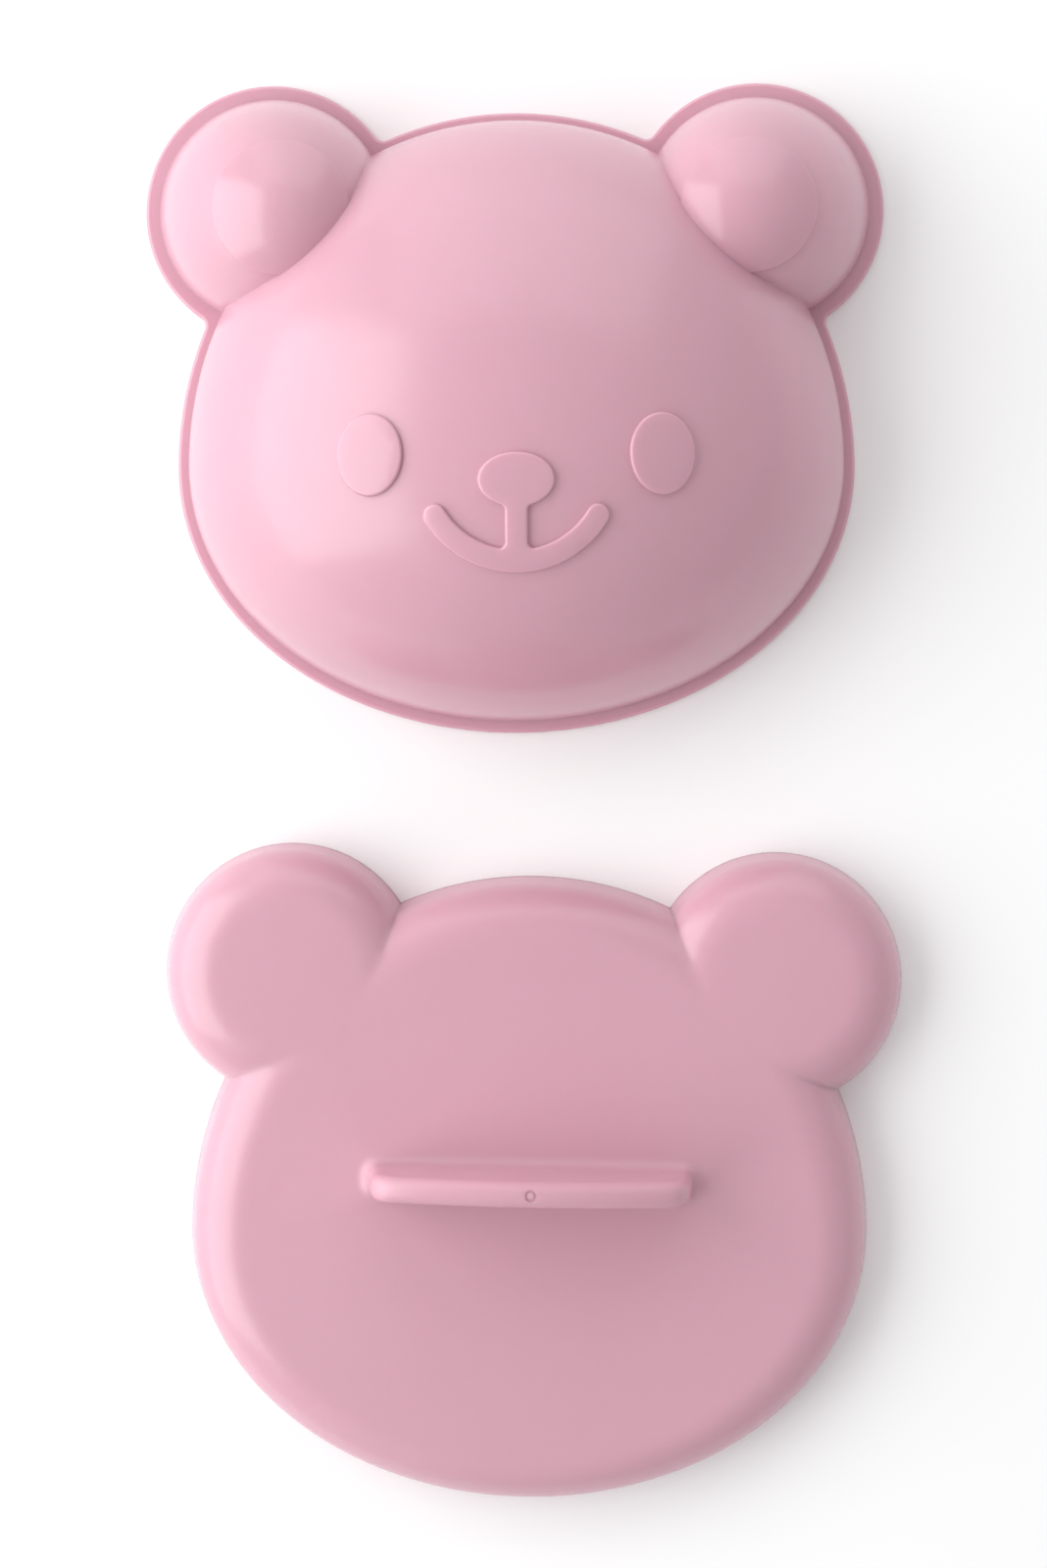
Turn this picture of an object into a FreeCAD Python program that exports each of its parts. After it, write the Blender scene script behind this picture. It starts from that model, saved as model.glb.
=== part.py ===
import FreeCAD, Part
import math
import os

from FreeCAD import Matrix, Vector

# Bear-head rice mould and its press, in millimetres.
# Both pieces lie side by side: the mould on its mouth with the bear's face up, and the press in front of it
# on its rim with the grip up. +Z is up and +Y runs from the chin to the ears.

# Head outline, shared by the mould's flange and the press's rim, measured from the head's widest line
HEAD_HALF_WIDTH = 54.8
CROWN_HEIGHT = 57.4
CHIN_DEPTH = 43.0
EAR_RADIUS = 20.6
EAR_X = 39.15
EAR_Y = 41.4
NOTCH_RADIUS = 1.6

# Rice mould
MOULD_WALL = 1.8
FLANGE_THICKNESS = 1.8
FLANGE_WIDTH = 1.9
EAR_FLANGE_WIDTH = 2.4
FLANGE_EDGE_BREAK = 0.4
DOME_HEIGHT = 42.0
EAR_HEIGHT = 27.0
EAR_LEAN = 4.9

# Bear's face, raised on the dome and sunk as much inside it, and the inner-ear discs
FACE_PROUD = 0.8
FACE_EDGE_RADIUS = 0.4
FACE_INSIDE_INSET = 0.5
EYE_X = 22.0
EYE_Y = -1.8
EYE_HALF_WIDTH = 4.95
EYE_HALF_HEIGHT = 6.15
NOSE_Y = -5.9
NOSE_HALF_WIDTH = 5.75
NOSE_HALF_HEIGHT = 4.05
LINE_WIDTH = 3.4
MOUTH_HALF_WIDTH = 12.25
MOUTH_END_Y = -11.1
MOUTH_LOW_Y = -17.9
LINE_CORNER_RADIUS = 0.9
EAR_DISC_RADIUS = 10.6
EAR_DISC_PROUD = 0.35

# Press, a shallow tray lying on its rim
PRESS_HEIGHT = 12.0
PRESS_WALL = 2.0
PRESS_DRAFT_DEG = 10.0
SHOULDER_WIDTH = 8.8
SHOULDER_HEIGHT = 7.5

# Grip, an upright blade moulded on the press
GRIP_Y = 9.3
GRIP_FOOT_LENGTH = 52.0
GRIP_TOP_LENGTH = 49.0
GRIP_HEIGHT = 18.0
GRIP_END_HEIGHT = 14.0
GRIP_TOP_THICKNESS = 3.9
GRIP_DRAFT_DEG = 1.0
GRIP_CORNER_RADIUS = 4.5
GRIP_EDGE_RADIUS = 1.5
GRIP_FOOT_RADIUS = 1.8
GATE_MARK_RADIUS = 0.9
GATE_MARK_DEPTH = 0.2
GATE_PIP_RADIUS = 0.5

# How the press lies in front of the mould: its widest line's centre from the mould's, and its turn
PRESS_SHIFT_X = 1.3
PRESS_SHIFT_Y = -123.6
PRESS_TURN_DEG = -1.45

# Level from which the face marks' prisms rise, how far cutting solids run past the surface, and the length
# below which two places count as one
FACE_BASE = DOME_HEIGHT / 2
OVERCUT = 2.0
SAME_PLACE = 0.001
ORIGIN = Vector(0, 0, 0)
UP = Vector(0, 0, 1)


def line(first, second):
    """Edge between two (x, z) points of the upright section plane."""
    return Part.makeLine(Vector(first[0], 0, first[1]), Vector(second[0], 0, second[1]))


def section_face(edges):
    return Part.Face(Part.Wire(edges))


def ball_arc(radius, start, end):
    """Arc about the section plane's origin, between two angles above the level."""
    angles = (start, (start + end) / 2, end)
    return Part.Arc(*[Vector(radius * math.cos(a), 0, radius * math.sin(a)) for a in angles]).toShape()


def dome_section(radius, foot_depth):
    """Half section of a half ball on a straight foot, its widest line at z = 0."""
    return section_face([
        line((0, -foot_depth), (radius, -foot_depth)),
        line((radius, -foot_depth), (radius, 0)),
        ball_arc(radius, 0, math.pi / 2),
        line((0, radius), (0, -foot_depth)),
    ])


def ear_section(radius, foot_depth):
    """Dome section whose top is raised by a step, which makes the disc."""
    proud = radius + EAR_DISC_PROUD
    edge = math.acos(EAR_DISC_RADIUS / radius)
    proud_edge = math.acos(EAR_DISC_RADIUS / proud)
    return section_face([
        line((0, -foot_depth), (radius, -foot_depth)),
        line((radius, -foot_depth), (radius, 0)),
        ball_arc(radius, 0, edge),
        line((EAR_DISC_RADIUS, radius * math.sin(edge)), (EAR_DISC_RADIUS, proud * math.sin(proud_edge))),
        ball_arc(proud, proud_edge, math.pi / 2),
        line((0, proud), (0, -foot_depth)),
    ])


def half_turns(section, half_width, crown, chin, rise=1.0, lift=0.0):
    """Two half revolves of one section, stretched to the crown, to the chin and upwards."""
    halves = []
    for reach, turn in ((crown, 180), (chin, -180)):
        stretch = Matrix()
        stretch.A22 = reach / half_width
        stretch.A33 = rise
        stretch.A34 = lift
        halves.append(section.revolve(ORIGIN, UP, turn).transformGeometry(stretch))
    return halves[0].fuse(halves[1])


def head_dome(inset, top_z, foot_depth):
    """Head's dome, its plan inset from the head's outline, standing on the flange's upper face."""
    half_width = HEAD_HALF_WIDTH - inset
    section = dome_section(half_width, foot_depth)
    return half_turns(section, half_width, CROWN_HEIGHT - inset, CHIN_DEPTH - inset,
                      (top_z - FLANGE_THICKNESS) / half_width, FLANGE_THICKNESS)


def ear_dome(section, radius, top_z):
    """Full revolve of one section over the right ear, its top leaning towards the head."""
    away = Vector(EAR_X, EAR_Y, 0).normalize()
    height = top_z - FLANGE_THICKNESS
    lean = away * (-EAR_LEAN * height / (EAR_HEIGHT - FLANGE_THICKNESS))
    place = Matrix()
    place.A13 = lean.x / radius
    place.A23 = lean.y / radius
    place.A33 = height / radius
    place.A14 = EAR_X
    place.A24 = EAR_Y
    place.A34 = FLANGE_THICKNESS
    return section.revolve(ORIGIN, UP, 360).transformGeometry(place)


def mirrored(shape):
    return shape.mirror(ORIGIN, Vector(1, 0, 0))


def head_and_ears(head, ear):
    return head.multiFuse([ear, mirrored(ear)])


def outer_head(proud=0.0):
    return head_dome(FLANGE_WIDTH - proud, DOME_HEIGHT + proud, FLANGE_THICKNESS / 2)


def outer_ear():
    radius = EAR_RADIUS - EAR_FLANGE_WIDTH
    return ear_dome(ear_section(radius, FLANGE_THICKNESS / 2), radius, EAR_HEIGHT)


def inner_head(proud=0.0):
    return head_dome(FLANGE_WIDTH + MOULD_WALL - proud, DOME_HEIGHT - MOULD_WALL + proud,
                     FLANGE_THICKNESS + OVERCUT)


def inner_ear():
    radius = EAR_RADIUS - EAR_FLANGE_WIDTH - MOULD_WALL
    return ear_dome(dome_section(radius, FLANGE_THICKNESS), radius, EAR_HEIGHT - MOULD_WALL)


def is_upright(edge):
    ends = [vertex.Point for vertex in edge.Vertexes]
    return len(ends) == 2 and (ends[0] - ends[1]).cross(UP).Length < SAME_PLACE


def is_level(edge, z):
    box = edge.BoundBox
    return abs(box.ZMin - z) < SAME_PLACE and abs(box.ZMax - z) < SAME_PLACE


def half_ellipse_plate(reach, side, thickness):
    arc = Part.Arc(Vector(HEAD_HALF_WIDTH, 0, 0), Vector(0, side * HEAD_HALF_WIDTH, 0),
                   Vector(-HEAD_HALF_WIDTH, 0, 0))
    chord = Part.makeLine(Vector(-HEAD_HALF_WIDTH, 0, 0), Vector(HEAD_HALF_WIDTH, 0, 0))
    stretch = Matrix()
    stretch.A22 = reach / HEAD_HALF_WIDTH
    wire = Part.Wire([arc.toShape(), chord]).transformGeometry(stretch)
    return Part.Face(wire).extrude(UP * thickness)


def outline_plate(thickness):
    """Flat plate of the head's outline, with the notches between head and ears rounded."""
    ears = [Part.makeCylinder(EAR_RADIUS, thickness, Vector(side * EAR_X, EAR_Y, 0)) for side in (1, -1)]
    chin = half_ellipse_plate(CHIN_DEPTH, -1, thickness)
    plate = half_ellipse_plate(CROWN_HEIGHT, 1, thickness).multiFuse([chin] + ears).removeSplitter()
    notches = []
    for edge in plate.Edges:
        point = edge.Vertexes[0].Point
        from_ear = math.hypot(abs(point.x) - EAR_X, point.y - EAR_Y)
        if is_upright(edge) and abs(from_ear - EAR_RADIUS) < SAME_PLACE:
            notches.append(edge)
    return plate.makeFillet(NOTCH_RADIUS, notches)


def flange():
    plate = outline_plate(FLANGE_THICKNESS)
    rim = [edge for edge in plate.Edges if is_level(edge, FLANGE_THICKNESS)]
    return plate.makeChamfer(FLANGE_EDGE_BREAK, rim)


def face_prism(outline):
    """Upright prism through the upper half of the dome."""
    prism = Part.Face(outline).extrude(UP * DOME_HEIGHT)
    prism.translate(UP * FACE_BASE)
    return prism


def ellipse_prism(x, y, half_width, half_height):
    if half_width >= half_height:
        ellipse = Part.Ellipse(Vector(x, y, 0), half_width, half_height)
    else:
        ellipse = Part.Ellipse(Vector(x, y + half_height, 0), Vector(x + half_width, y, 0), Vector(x, y, 0))
    return face_prism(Part.Wire(ellipse.toShape()))


def mouth_prism(width):
    """Smile: one arc drawn with a round-ended stroke."""
    drop = MOUTH_END_Y - MOUTH_LOW_Y
    radius = (MOUTH_HALF_WIDTH ** 2 + drop ** 2) / (2 * drop)
    centre = Vector(0, MOUTH_LOW_Y + radius, 0)
    half_angle = math.asin(MOUTH_HALF_WIDTH / radius)
    half = width / 2

    def on_arc(angle, r):
        return centre + Vector(r * math.sin(angle), -r * math.cos(angle), 0)

    def arc(points):
        return Part.Arc(*points).toShape()

    edges = [arc([on_arc(turn * half_angle, radius + half) for turn in (-1, 0, 1)])]
    for side in (1, -1):
        tip = on_arc(side * half_angle, radius)
        along = Vector(side * math.cos(half_angle), math.sin(half_angle), 0) * half
        edges.append(arc([on_arc(side * half_angle, radius + half), tip + along,
                          on_arc(side * half_angle, radius - half)]))
    edges.append(arc([on_arc(turn * half_angle, radius - half) for turn in (-1, 0, 1)]))
    return face_prism(Part.Wire(Part.__sortEdges__(edges)))


def muzzle_prism(inset):
    """Nose, lip line and mouth in one outline."""
    width = LINE_WIDTH - 2 * inset
    nose = ellipse_prism(0, NOSE_Y, NOSE_HALF_WIDTH - inset, NOSE_HALF_HEIGHT - inset)
    lip = Part.makeBox(width, NOSE_Y - MOUTH_LOW_Y, DOME_HEIGHT,
                       Vector(-width / 2, MOUTH_LOW_Y, FACE_BASE))
    prism = nose.multiFuse([lip, mouth_prism(width)]).removeSplitter()
    corners = [edge for edge in prism.Edges if is_upright(edge)
               and abs(abs(edge.Vertexes[0].Point.x) - width / 2) < SAME_PLACE]
    return prism.makeFillet(LINE_CORNER_RADIUS, corners)


def face_prisms(inset=0.0):
    eyes = [ellipse_prism(side * EYE_X, EYE_Y, EYE_HALF_WIDTH - inset, EYE_HALF_HEIGHT - inset)
            for side in (1, -1)]
    return eyes + [muzzle_prism(inset)]


def raised(prism, proud_head):
    """Part of a face prism under the proud dome, with its upper edge rounded."""
    mark = prism.common(proud_head)
    top = [edge for edge in mark.Edges if edge.BoundBox.ZMin > FACE_BASE + OVERCUT and not is_upright(edge)]
    return mark.makeFillet(FACE_EDGE_RADIUS, top)


def rice_mould():
    """Deep bear-head shell on a narrow flange, open underneath."""
    domes = head_and_ears(outer_head(), outer_ear())
    proud_head = outer_head(FACE_PROUD)
    marks = [raised(prism, proud_head) for prism in face_prisms()]
    body = flange().fuse(domes).multiFuse(marks)
    deep_head = inner_head(FACE_PROUD)
    sunk = [prism.common(deep_head) for prism in face_prisms(FACE_INSIDE_INSET)]
    cavity = head_and_ears(inner_head(), inner_ear()).multiFuse(sunk)
    return body.cut(cavity)


def tray_section(radius, height):
    """Half section of the press's tray: drafted wall, then a soft shoulder up to the flat top."""
    slope = math.tan(math.radians(PRESS_DRAFT_DEG))
    start = math.atan(slope * SHOULDER_HEIGHT / SHOULDER_WIDTH)
    wall_top = height - SHOULDER_HEIGHT * (1 - math.sin(start))
    flat_x = radius - wall_top * slope - SHOULDER_WIDTH * math.cos(start)
    shoulder = Part.Ellipse(Vector(SHOULDER_WIDTH, 0, 0), Vector(0, SHOULDER_HEIGHT, 0), ORIGIN)
    arc = shoulder.toShape(start, math.pi / 2)
    arc.rotate(ORIGIN, Vector(1, 0, 0), 90)
    arc.translate(Vector(flat_x, 0, height - SHOULDER_HEIGHT))
    low = (radius + OVERCUT * slope, -OVERCUT)
    return section_face([
        line((0, -OVERCUT), low),
        line(low, (radius - wall_top * slope, wall_top)),
        arc,
        line((flat_x, height), (0, height)),
        line((0, height), (0, -OVERCUT)),
    ])


def tray_lobes(inset, height):
    """Tray over head and ears, each with its own wall and shoulder, so that valleys run in from the notches."""
    half_width = HEAD_HALF_WIDTH - inset
    section = tray_section(half_width, height)
    head = half_turns(section, half_width, CROWN_HEIGHT - inset, CHIN_DEPTH - inset)
    ear_radius = EAR_RADIUS - inset
    ear = half_turns(tray_section(ear_radius, height), ear_radius, ear_radius, ear_radius)
    ear.translate(Vector(EAR_X, EAR_Y, 0))
    return head_and_ears(head, ear)


def grip():
    """Upright blade with an arched crest, standing on the tray's top."""
    foot_half = GRIP_FOOT_LENGTH / 2
    top_half = GRIP_TOP_LENGTH / 2
    low = -PRESS_WALL
    crest = Part.Arc(Vector(top_half, 0, GRIP_END_HEIGHT), Vector(0, 0, GRIP_HEIGHT),
                     Vector(-top_half, 0, GRIP_END_HEIGHT)).toShape()
    side_view = section_face([
        line((-foot_half, low), (foot_half, low)),
        line((foot_half, low), (top_half, GRIP_END_HEIGHT)),
        crest,
        line((-top_half, GRIP_END_HEIGHT), (-foot_half, low)),
    ])
    draft = math.tan(math.radians(GRIP_DRAFT_DEG))
    top = GRIP_TOP_THICKNESS / 2
    reach = GRIP_HEIGHT + OVERCUT
    foot = top + (GRIP_HEIGHT - low) * draft
    end_view = Part.makePolygon([Vector(-foot_half, y, z) for y, z in (
        (-foot, low), (foot, low), (top - OVERCUT * draft, reach), (-top + OVERCUT * draft, reach), (-foot, low))])
    depth = 2 * foot
    slab = side_view.extrude(Vector(0, 2 * depth, 0))
    slab.translate(Vector(0, -depth, 0))
    corners = [edge for edge in slab.Edges if is_along_y(edge) and edge.BoundBox.ZMin > 0]
    slab = slab.makeFillet(GRIP_CORNER_RADIUS, corners)
    blade = slab.common(Part.Face(end_view).extrude(Vector(GRIP_FOOT_LENGTH, 0, 0)))
    edges = [edge for edge in blade.Edges if edge.BoundBox.ZMax > 0 and not is_along_y(edge)]
    return blade.makeFillet(GRIP_EDGE_RADIUS, edges)


def is_along_y(edge):
    box = edge.BoundBox
    return box.XLength < SAME_PLACE and box.ZLength < SAME_PLACE


def gate_mark():
    """Ring-shaped dimple left by the moulding gate, in the middle of the grip's crest."""
    crest_z = PRESS_HEIGHT + GRIP_HEIGHT
    ring = Part.makeCylinder(GATE_MARK_RADIUS, OVERCUT, Vector(0, GRIP_Y, crest_z - GATE_MARK_DEPTH))
    return ring.cut(Part.makeCylinder(GATE_PIP_RADIUS, OVERCUT, Vector(0, GRIP_Y, crest_z - GATE_MARK_DEPTH)))


def press():
    """Hollow tray with the head's outline, and its grip."""
    blade = grip()
    blade.translate(Vector(0, GRIP_Y, PRESS_HEIGHT))
    body = tray_lobes(0.0, PRESS_HEIGHT).removeSplitter().fuse(blade)
    foot = [edge for edge in body.Edges if is_level(edge, PRESS_HEIGHT) and near_grip(edge)]
    body = body.makeFillet(GRIP_FOOT_RADIUS, foot)
    hollow = tray_lobes(PRESS_WALL, PRESS_HEIGHT - PRESS_WALL)
    reach = 2 * (HEAD_HALF_WIDTH + EAR_RADIUS)
    surface = Part.makeBox(2 * reach, 2 * reach, 2 * OVERCUT, Vector(-reach, -reach, -2 * OVERCUT))
    return body.cut(surface).cut(hollow).cut(gate_mark())


def near_grip(edge):
    point = edge.CenterOfMass
    return abs(point.x) <= GRIP_FOOT_LENGTH / 2 and abs(point.y - GRIP_Y) < 2 * GRIP_TOP_THICKNESS


def layout_origin():
    """Middle of the two pieces' joint outline, which the part's origin stands under."""
    turn = math.radians(PRESS_TURN_DEG)
    ear_reach = EAR_X + EAR_RADIUS
    press_ear_x = EAR_X * math.cos(turn) - EAR_Y * math.sin(turn)
    high_x = max(ear_reach, PRESS_SHIFT_X + press_ear_x + EAR_RADIUS)
    low_x = min(-ear_reach, PRESS_SHIFT_X - EAR_X * math.cos(turn) - EAR_Y * math.sin(turn) - EAR_RADIUS)
    chin = math.hypot(HEAD_HALF_WIDTH * math.sin(turn), CHIN_DEPTH * math.cos(turn))
    return Vector((low_x + high_x) / 2, (EAR_Y + EAR_RADIUS + PRESS_SHIFT_Y - chin) / 2, 0)


def main():
    origin = layout_origin()
    mould = rice_mould()
    mould.translate(origin * -1)
    lid = press()
    lid.rotate(ORIGIN, UP, PRESS_TURN_DEG)
    lid.translate(Vector(PRESS_SHIFT_X, PRESS_SHIFT_Y, 0) - origin)
    os.makedirs("parts", exist_ok=True)
    for node, shape in (("rice_mould", mould), ("press_lid", lid)):
        print(node, "valid", shape.isValid(), "solids", len(shape.Solids), "volume", round(shape.Volume))
        shape.exportStep("parts/%s.step" % node)


if __name__ == "__main__":
    main()
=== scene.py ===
"""Pink bear-head rice mould and its hand press, finished and set on a studio table seen from above."""

import math

import bpy
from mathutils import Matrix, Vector

bl_info = {
    "name": "Bear-head rice mould and press",
    "version": (1, 0, 0),
    "blender": (4, 5, 0),
    "location": "3D View > Sidebar > Rice mould",
    "description": "Finishes the two pink mouldings of a bear-head rice mould and sets a studio round them",
    "category": "Object",
}

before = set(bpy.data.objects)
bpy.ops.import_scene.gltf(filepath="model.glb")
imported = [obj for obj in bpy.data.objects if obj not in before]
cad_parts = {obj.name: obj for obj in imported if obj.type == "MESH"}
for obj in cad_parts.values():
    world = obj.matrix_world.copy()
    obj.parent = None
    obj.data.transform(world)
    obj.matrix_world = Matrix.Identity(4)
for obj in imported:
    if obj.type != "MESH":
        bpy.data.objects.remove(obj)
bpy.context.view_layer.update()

MM = 0.001
LONG_SIDE_SENSOR_MM = 36.0

# Sockets of a colour mix node, which share their names and are told apart by number.
MIX_FACTOR = 0
MIX_FIRST_COLOUR = 6
MIX_SECOND_COLOUR = 7
MIX_COLOUR_RESULT = 2

POLYPROPYLENE_IOR = 1.54
POLYPROPYLENE_SCATTER = 0.4
SCATTER_DEPTH_MM = 2.5
SCATTER_BY_CHANNEL = (1.0, 0.55, 0.6)
WEAR_STARTS = 0.42
WEAR_IS_FULL = 0.72
BEVEL_SAMPLES = 6
JOINING_DISTANCE_MM = 0.002

CARD_ROUGHNESS = 0.9
CARD_SPECULAR = 0.2
CARD_GRAIN_SIZE_MM = 1.5
CARD_GRAIN_DEPTH_MM = 0.01


def linear_colour(hex_code):
    """Linear red, green, blue and alpha of an sRGB colour written as six hex digits."""
    channels = []
    for start in (0, 2, 4):
        value = int(hex_code[start:start + 2], 16) / 255
        channels.append(value / 12.92 if value <= 0.04045 else ((value + 0.055) / 1.055) ** 2.4)
    return (*channels, 1.0)


def per_mm(size_mm):
    """Texture scale at which one cell of a pattern measures size_mm on the object."""
    return 1 / (size_mm * MM)


def add_node(tree, kind, settings=None, values=None, links=None):
    """A node of that kind, with its settings, its sockets' values and the sockets that feed it."""
    node = tree.nodes.new(kind)
    for name, value in (settings or {}).items():
        setattr(node, name, value)
    for socket, value in (values or {}).items():
        node.inputs[socket].default_value = value
    for socket, source in (links or {}).items():
        tree.links.new(source, node.inputs[socket])
    return node


def empty_material(name):
    """A new material and its node tree, with nothing in it yet."""
    material = bpy.data.materials.new(name)
    material.use_nodes = True
    material.node_tree.nodes.clear()
    return material, material.node_tree


class PlasticSettings(bpy.types.PropertyGroup):
    """Colour and surface of the moulded polypropylene."""

    colour: bpy.props.FloatVectorProperty(
        name="Colour", description="Colour of the plastic", subtype="COLOR", size=4, min=0, max=1,
        default=linear_colour("D3A4B3"))
    flow_colour: bpy.props.FloatVectorProperty(
        name="Flow colour", description="Slightly deeper colour that the melt's flow leaves in broad clouds",
        subtype="COLOR", size=4, min=0, max=1, default=linear_colour("CF9EAE"))
    flow_size: bpy.props.FloatProperty(
        name="Flow size", description="Size of the clouds in millimetres", default=45.0, min=1)
    gloss_roughness: bpy.props.FloatProperty(
        name="Gloss roughness", description="Roughness where the polish is untouched", subtype="FACTOR",
        default=0.22, min=0, max=1)
    worn_roughness: bpy.props.FloatProperty(
        name="Worn roughness", description="Roughness where handling has dulled the polish", subtype="FACTOR",
        default=0.27, min=0, max=1)
    wear_size: bpy.props.FloatProperty(
        name="Wear size", description="Size of the dulled patches in millimetres", default=9.0, min=0.1)
    peel_size: bpy.props.FloatProperty(
        name="Peel size", description="Width of the surface's fine waves in millimetres", default=2.2, min=0.1)
    peel_depth: bpy.props.FloatProperty(
        name="Peel depth", description="Depth of the surface's fine waves in millimetres", default=0.004,
        min=0, precision=4)
    mould_edge: bpy.props.FloatProperty(
        name="Mould edge", description="Radius that the light sees on the mould's edges in millimetres",
        default=0.25, min=0)
    press_edge: bpy.props.FloatProperty(
        name="Press edge", description="Radius that the light sees in the press's valleys in millimetres",
        default=1.8, min=0)
    smooth_angle: bpy.props.FloatProperty(
        name="Smooth angle", description="Edges sharper than this stay crisp", subtype="ANGLE",
        default=math.radians(28), min=0, max=math.pi)


class StudioSettings(bpy.types.PropertyGroup):
    """Table, lights and camera."""

    table_colour: bpy.props.FloatVectorProperty(
        name="Table colour", description="Colour of the matt white table", subtype="COLOR", size=4, min=0,
        max=1, default=linear_colour("FAFAFA"))
    table_width: bpy.props.FloatProperty(
        name="Table width", description="Side of the square table", subtype="DISTANCE", default=3.0, min=0.1)
    camera_height: bpy.props.FloatProperty(
        name="Camera height", description="Height of the camera above the table", subtype="DISTANCE",
        default=0.5, min=0.1)
    camera_place: bpy.props.FloatVectorProperty(
        name="Camera place", description="Point of the table right under the camera", subtype="TRANSLATION",
        size=2, default=(-0.35 * MM, 1.0 * MM))
    camera_turn: bpy.props.FloatProperty(
        name="Camera turn", description="Turn of the camera about the upright axis", subtype="ANGLE",
        default=math.radians(-0.35))
    view_height: bpy.props.FloatProperty(
        name="View height", description="Length of the table that the picture's long side covers",
        subtype="DISTANCE", default=0.2548, min=0.01)
    side_power: bpy.props.FloatProperty(
        name="Side light", description="Power of the large soft light on the left", subtype="POWER",
        default=8.8, min=0)
    side_place: bpy.props.FloatVectorProperty(
        name="Side place", description="Middle of the soft light on the left", subtype="TRANSLATION",
        default=(-0.7, 0.02, 0.41))
    side_size: bpy.props.FloatVectorProperty(
        name="Side size", description="Width and height of the soft light on the left", subtype="XYZ_LENGTH",
        size=2, default=(1.2, 0.85), min=0.01)
    back_power: bpy.props.FloatProperty(
        name="Back light", description="Power of the soft light beyond the ears", subtype="POWER",
        default=2.2, min=0)
    back_place: bpy.props.FloatVectorProperty(
        name="Back place", description="Middle of the soft light beyond the ears", subtype="TRANSLATION",
        default=(0.05, 0.75, 0.36))
    back_size: bpy.props.FloatVectorProperty(
        name="Back size", description="Width and height of the soft light beyond the ears",
        subtype="XYZ_LENGTH", size=2, default=(1.0, 0.75), min=0.01)
    room_light: bpy.props.FloatProperty(
        name="Room light", description="Strength of the even light from all round", default=0.6, min=0)


def moulded_polypropylene(name, edge_radius, settings):
    """Polished polypropylene, injection moulded: an even pink with a soft, wide gloss. The eye gets a slight
    cloudiness from the melt's flow, fine waves that break up the highlights, and patches dulled by handling."""
    material, tree = empty_material(name)
    place = add_node(tree, "ShaderNodeTexCoord").outputs["Object"]
    flow = add_node(tree, "ShaderNodeTexNoise", values={"Scale": per_mm(settings.flow_size), "Detail": 2.0},
                    links={"Vector": place})
    colour = add_node(tree, "ShaderNodeMix", {"data_type": "RGBA"},
                      {MIX_FIRST_COLOUR: settings.colour, MIX_SECOND_COLOUR: settings.flow_colour},
                      {MIX_FACTOR: flow.outputs["Fac"]})
    wear = add_node(tree, "ShaderNodeTexNoise", values={"Scale": per_mm(settings.wear_size), "Detail": 1.0},
                    links={"Vector": place})
    roughness = add_node(tree, "ShaderNodeMapRange",
                         values={"From Min": WEAR_STARTS, "From Max": WEAR_IS_FULL,
                                 "To Min": settings.gloss_roughness, "To Max": settings.worn_roughness},
                         links={"Value": wear.outputs["Fac"]})
    # The real waves are too shallow and fine to show from above, so they are drawn coarser.
    peel = add_node(tree, "ShaderNodeTexNoise", values={"Scale": per_mm(settings.peel_size), "Detail": 1.0},
                    links={"Vector": place})
    edges = add_node(tree, "ShaderNodeBevel", {"samples": BEVEL_SAMPLES}, {"Radius": edge_radius * MM})
    waves = add_node(tree, "ShaderNodeBump", values={"Distance": settings.peel_depth * MM},
                     links={"Height": peel.outputs["Fac"], "Normal": edges.outputs["Normal"]})
    shader = add_node(tree, "ShaderNodeBsdfPrincipled",
                      values={"IOR": POLYPROPYLENE_IOR, "Subsurface Weight": POLYPROPYLENE_SCATTER,
                              "Subsurface Scale": SCATTER_DEPTH_MM * MM, "Subsurface Radius": SCATTER_BY_CHANNEL},
                      links={"Base Color": colour.outputs[MIX_COLOUR_RESULT],
                             "Roughness": roughness.outputs["Result"], "Normal": waves.outputs["Normal"]})
    add_node(tree, "ShaderNodeOutputMaterial", links={"Surface": shader.outputs["BSDF"]})
    return material


def matt_white_card(colour):
    """Coated card, pressed flat and matt: pale and even, so that the eye gets only the pieces' soft shadows."""
    material, tree = empty_material("card_coated_matt")
    place = add_node(tree, "ShaderNodeTexCoord").outputs["Object"]
    # The real paper's grain is too fine to show at this distance, so it is drawn coarser.
    grain = add_node(tree, "ShaderNodeTexNoise", values={"Scale": per_mm(CARD_GRAIN_SIZE_MM), "Detail": 3.0},
                     links={"Vector": place})
    relief = add_node(tree, "ShaderNodeBump", values={"Distance": CARD_GRAIN_DEPTH_MM * MM},
                      links={"Height": grain.outputs["Fac"]})
    shader = add_node(tree, "ShaderNodeBsdfPrincipled",
                      values={"Base Color": colour, "Roughness": CARD_ROUGHNESS,
                              "Specular IOR Level": CARD_SPECULAR},
                      links={"Normal": relief.outputs["Normal"]})
    add_node(tree, "ShaderNodeOutputMaterial", links={"Surface": shader.outputs["BSDF"]})
    return material


def finish_moulding(node_name, material, settings):
    """Joins a moulding's triangles, smooths its curved faces and gives it the plastic."""
    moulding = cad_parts[node_name]
    moulding.data.polygons.foreach_set("use_smooth", [True] * len(moulding.data.polygons))
    moulding.modifiers.new("joined", "WELD").merge_threshold = JOINING_DISTANCE_MM * MM
    crisp = moulding.modifiers.new("crisp_edges", "EDGE_SPLIT")
    crisp.split_angle = settings.smooth_angle
    crisp.use_edge_sharp = False
    moulding.data.materials.clear()
    moulding.data.materials.append(material)


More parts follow.
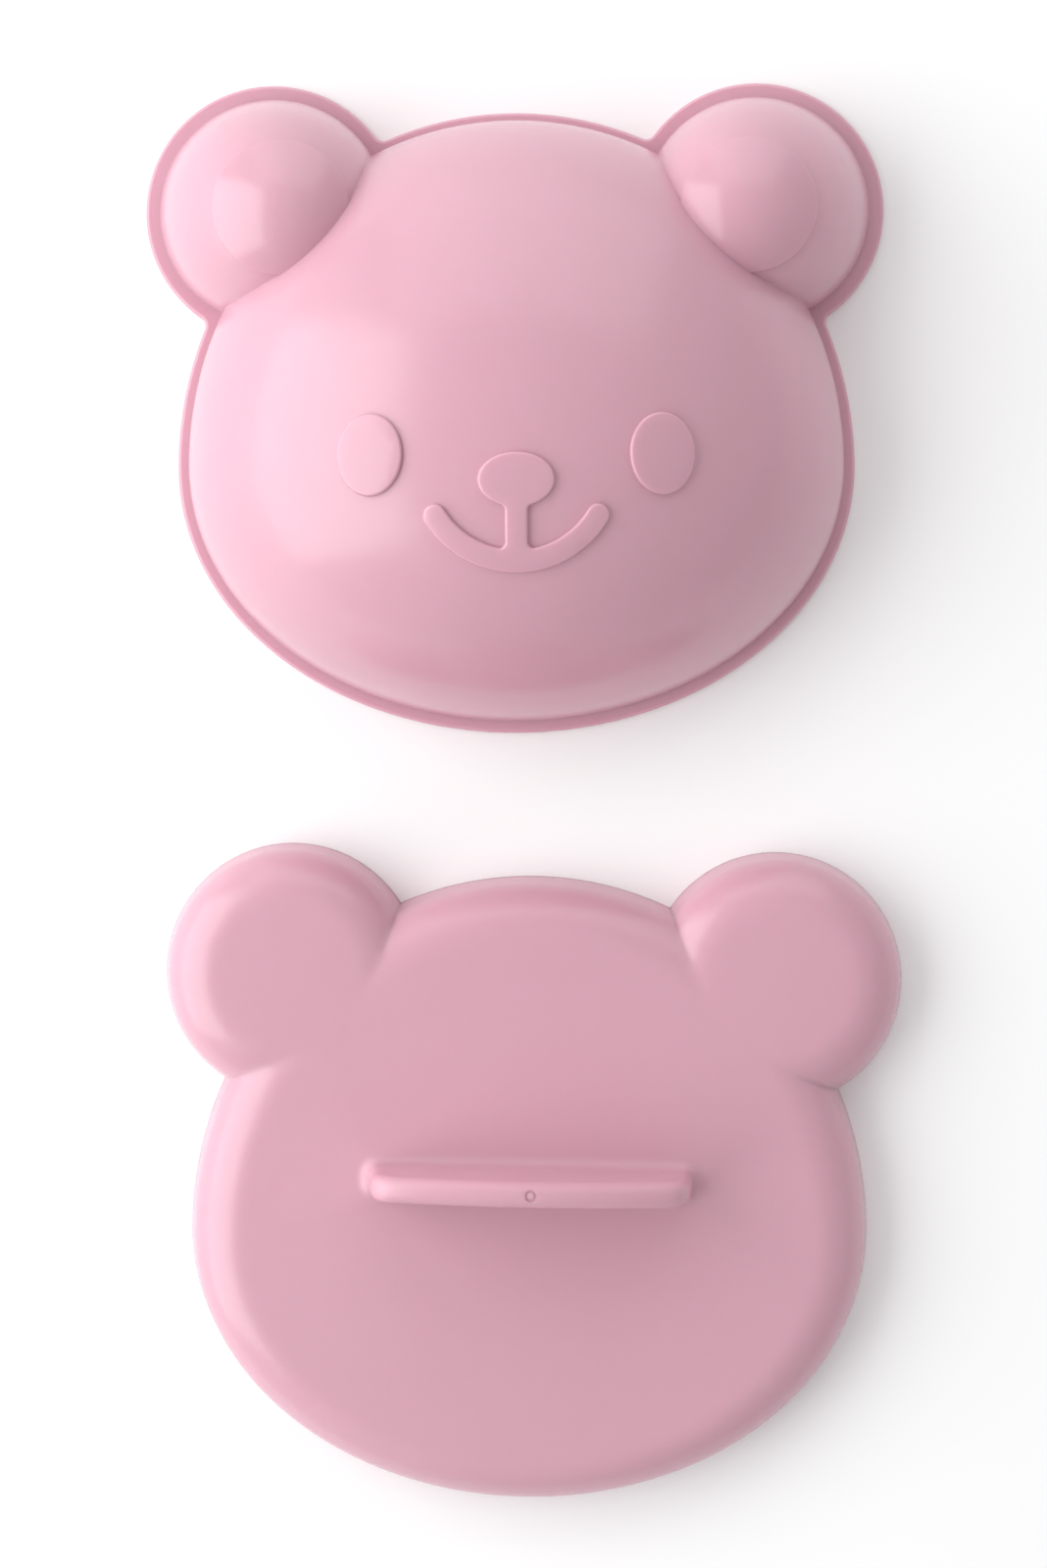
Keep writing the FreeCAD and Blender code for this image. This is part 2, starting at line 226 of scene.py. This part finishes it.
class RICEMOULD_OT_finish_mould(bpy.types.Operator):
    """Finish the deep bear-head mould"""

    bl_idname = "ricemould.finish_mould"
    bl_label = "Finish mould"

    def execute(self, context):
        settings = context.scene.plastic_settings
        plastic = moulded_polypropylene("polypropylene_gloss_mould", settings.mould_edge, settings)
        finish_moulding("rice_mould", plastic, settings)
        return {"FINISHED"}


class RICEMOULD_OT_finish_press(bpy.types.Operator):
    """Finish the shallow hand press"""

    bl_idname = "ricemould.finish_press"
    bl_label = "Finish press"

    def execute(self, context):
        settings = context.scene.plastic_settings
        plastic = moulded_polypropylene("polypropylene_gloss_press", settings.press_edge, settings)
        finish_moulding("press_lid", plastic, settings)
        return {"FINISHED"}


def lay_table(settings):
    """Lays the plain table under the pieces."""
    bpy.ops.mesh.primitive_plane_add(size=settings.table_width, location=(0, 0, 0))
    table = bpy.context.object
    table.name = "table"
    table.data.materials.append(matt_white_card(settings.table_colour))


def hang_softbox(name, place, power, size):
    """Hangs a soft rectangular light that shines at the middle of the table."""
    data = bpy.data.lights.new(name, "AREA")
    data.shape = "RECTANGLE"
    data.size, data.size_y = size
    data.energy = power
    light = bpy.data.objects.new(name, data)
    light.location = place
    light.rotation_euler = (-Vector(place)).to_track_quat("-Z", "Y").to_euler()
    bpy.context.scene.collection.objects.link(light)


def light_room(strength):
    """Fills the room with even white light."""
    world = bpy.data.worlds.new("even_room_light")
    world.use_nodes = True
    background = world.node_tree.nodes["Background"]
    background.inputs["Color"].default_value = linear_colour("FFFFFF")
    background.inputs["Strength"].default_value = strength
    bpy.context.scene.world = world


def set_camera(settings):
    """Sets the camera straight above the table, at the photograph's angle."""
    data = bpy.data.cameras.new("overhead_camera")
    data.lens = LONG_SIDE_SENSOR_MM * settings.camera_height / settings.view_height
    data.sensor_width = LONG_SIDE_SENSOR_MM
    camera = bpy.data.objects.new("overhead_camera", data)
    camera.location = (*settings.camera_place, settings.camera_height)
    camera.rotation_euler = (0, 0, settings.camera_turn)
    bpy.context.scene.collection.objects.link(camera)
    bpy.context.scene.camera = camera


class RICEMOULD_OT_set_studio(bpy.types.Operator):
    """Lay the table, hang the soft lights and set the camera overhead"""

    bl_idname = "ricemould.set_studio"
    bl_label = "Set studio"

    def execute(self, context):
        settings = context.scene.studio_settings
        lay_table(settings)
        hang_softbox("side_softbox", settings.side_place, settings.side_power, settings.side_size)
        hang_softbox("back_softbox", settings.back_place, settings.back_power, settings.back_size)
        light_room(settings.room_light)
        set_camera(settings)
        # The plain transform keeps the plastic's pink, which the filmic ones turn grey.
        context.scene.view_settings.view_transform = "Standard"
        return {"FINISHED"}


class RICEMOULD_PT_sidebar(bpy.types.Panel):
    """Steps that finish the mould and its press"""

    bl_idname = "RICEMOULD_PT_sidebar"
    bl_label = "Rice mould"
    bl_space_type = "VIEW_3D"
    bl_region_type = "UI"
    bl_category = "Rice mould"

    def draw(self, context):
        for settings in (context.scene.plastic_settings, context.scene.studio_settings):
            box = self.layout.box()
            for name in settings.__annotations__:
                box.prop(settings, name)
        for step in STEPS:
            self.layout.operator(step.bl_idname)


STEPS = (RICEMOULD_OT_finish_mould, RICEMOULD_OT_finish_press, RICEMOULD_OT_set_studio)
CLASSES = (PlasticSettings, StudioSettings, *STEPS, RICEMOULD_PT_sidebar)


def register():
    for cls in CLASSES:
        bpy.utils.register_class(cls)
    bpy.types.Scene.plastic_settings = bpy.props.PointerProperty(type=PlasticSettings)
    bpy.types.Scene.studio_settings = bpy.props.PointerProperty(type=StudioSettings)


def unregister():
    del bpy.types.Scene.studio_settings
    del bpy.types.Scene.plastic_settings
    for cls in reversed(CLASSES):
        bpy.utils.unregister_class(cls)


def main():
    register()
    bpy.ops.ricemould.finish_mould()
    bpy.ops.ricemould.finish_press()
    bpy.ops.ricemould.set_studio()


if __name__ == "__main__":
    main()
